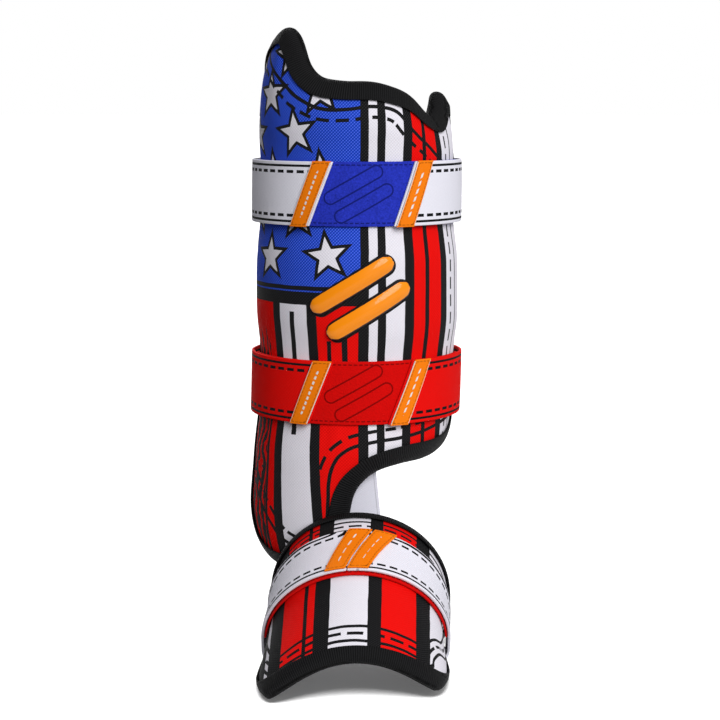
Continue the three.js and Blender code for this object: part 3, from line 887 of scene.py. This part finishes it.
def badgeGloss():
    material, pen, shader = newMaterial("badgeGloss", Specular_IOR_Level=0.12, Coat_Weight=0.3,
                                        Coat_Roughness=0.06)
    away = edgeWires(pen)[0]
    place = objectPlace(pen)[0]
    colour = (away < badgeLook["edge"]).over(tinted(badgeLook["colour"]), tinted(inks["black"]))
    smear = pen.noise(badgeLook["smearScale"], 2, place)
    feed(pen, shader, colour, smear * badgeLook["smear"] + badgeLook["rough"])
    return material


# Building the guard

shinRim = makeShinPad()
makeBinding("shin_binding", "shinBinding", shinRim)
footPad, footRim = makeFootPad()
footBinding = makeBinding("foot_binding", "footBinding", footRim)
print("pads and tape built")
upperBand = elastic("upperElastic", elastics["white"], strapCentre - strapHeight / 2)
lowerBand = elastic("lowerElastic", elastics["red"], -strapCentre - strapHeight / 2)
footBand = elastic("footElastic", elastics["white"])
plainBand = elastic("plainElastic", elastics["plain"], plain=True)
makeBand("upper_strap", "upperStrap", "white_elastic", upperBand)
makeBand("lower_strap", "lowerStrap", "red_elastic", lowerBand)
makeBand("foot_strap", "footStrap", "white_elastic", footBand, keep=onBackEdge)
makeBand("connector_strap", "connectorStrap", "white_elastic", plainBand)
sewnEdge = bandEdges["sewn"]
makeBand("upper_patch", "upperPatch", "blue_loop", loopPile("blueLoop", strapCentre), bevel=sewnEdge)
redPile = loopPile("redLoop", -strapCentre)
makeBand("lower_patch", "lowerPatch", "red_loop", redPile, bevel=sewnEdge)
makeBand("foot_patch", "footPatch", "red_loop", redPile, bevel=sewnEdge)
calfLabel = wovenLabel("calfLabel", tabLook["calfWide"])
footLabel = wovenLabel("footLabel", tabLook["footWide"])
for level, label in (("upper", calfLabel), ("lower", calfLabel), ("foot", footLabel)):
    for side in ("left", "right"):
        name = f"{level}Tab{side.title()}"
        makeBand(f"{level}_tab_{side}", name, "orange_label", label, bevel=sewnEdge)
gloss = badgeGloss()
for row in ("upper", "lower"):
    makeBand(f"badge_bar_{row}", f"badgeBar{row.title()}", "badge", gloss, levels=3, bevel=0)
print("guard built")


# Stage: white floor, soft light, the camera in front

stage = {
    "floor": -217.0,
    "floorSize": 60,  # metres
    "floorGlow": 0.09,
    "camera": (1.0, -1180.0, 116.6),
    "pitch": 82.08,
    "lens": 95.25,
    "sensor": 36,
    "shift": 0.0019,
    "ambient": {"all": 0.3, "right": 0.2, "above": 0.15, "below": 0.2},
    "key": {"from": (0.36, -1.0, 0.55), "strength": 2.5, "softness": 35},
    "back": {"from": (-0.3, 1.0, 0.5), "strength": 1.3, "softness": 40},
    "overFloor": {"from": (0.0, -1.0, 1.2), "strength": 4.6, "softness": 26},
}


def makeFloor():
    bpy.ops.object.select_all(action="DESELECT")
    bpy.ops.mesh.primitive_plane_add(size=stage["floorSize"], location=(0, 0, stage["floor"] * mm))
    floor = bpy.context.object
    floor.name = "floor"
    bpy.ops.object.transform_apply(location=True)
    paint = newMaterial("paleFloor", Base_Color=(0.95, 0.95, 0.95, 1), Roughness=0.9, Specular_IOR_Level=0.0,
                        Emission_Color=(1, 1, 1, 1), Emission_Strength=stage["floorGlow"])[0]
    floor.data.materials.append(paint)
    floor.visible_diffuse = False  # the room's own light comes from below instead
    return floor


def softLight(name, floor, onFloor=False, shadeFrom=None):
    look = stage[name]
    bpy.ops.object.light_add(type="SUN", location=look["from"])
    lamp = bpy.context.object
    lamp.name = name
    lamp.data.energy = look["strength"]
    lamp.data.angle = math.radians(look["softness"])
    lamp.rotation_euler = Vector(look["from"]).to_track_quat("Z", "Y").to_euler()
    lit = linked(name + "Lit", [floor])
    lit.collection_objects[0].light_linking.link_state = "INCLUDE" if onFloor else "EXCLUDE"
    lamp.light_linking.receiver_collection = lit
    if shadeFrom:
        lamp.light_linking.blocker_collection = linked(name + "Shade", shadeFrom)


def linked(name, pieces):
    group = bpy.data.collections.new(name)
    for piece in pieces:
        group.objects.link(piece)
    return group


def makeWorld():  # a white room, brighter above and to the right
    world = bpy.data.worlds.new("studio")
    scene.world = world
    world.use_nodes = True
    tree = world.node_tree
    pen = Wire(tree)
    look = stage["ambient"]
    right = pen.node("SeparateXYZ", {0: pen.node("TexCoord", out="Generated")})
    above = right.beside(2)
    upper = (above | 0) * look["above"] + look["all"]
    lower = above < 0
    glow = right * look["right"] + upper - lower * (look["all"] - look["below"])
    room = pen.node("Background", {"Color": (1, 1, 1, 1), "Strength": glow})
    backdrop = pen.node("Background", {"Color": (1, 1, 1, 1), "Strength": 1.0})
    seen = pen.node("LightPath", out="Is Camera Ray")
    both = pen.node("MixShader", {0: seen, 1: room, 2: backdrop})
    tree.links.new(both.socket, tree.nodes["World Output"].inputs["Surface"])


def makeCamera():
    x, y, z = stage["camera"]
    pitch = math.radians(stage["pitch"])
    bpy.ops.object.camera_add(location=(x * mm, y * mm, z * mm), rotation=(pitch, 0, 0))
    camera = bpy.context.object
    camera.data.sensor_width = stage["sensor"]
    camera.data.lens = stage["lens"]
    camera.data.shift_x = stage["shift"]
    scene.camera = camera


floor = makeFloor()
softLight("key", floor)
softLight("back", floor)
softLight("overFloor", floor, onFloor=True, shadeFrom=[footPad, footBinding])
makeWorld()
makeCamera()
scene.view_settings.view_transform = "Standard"
print("stage set")
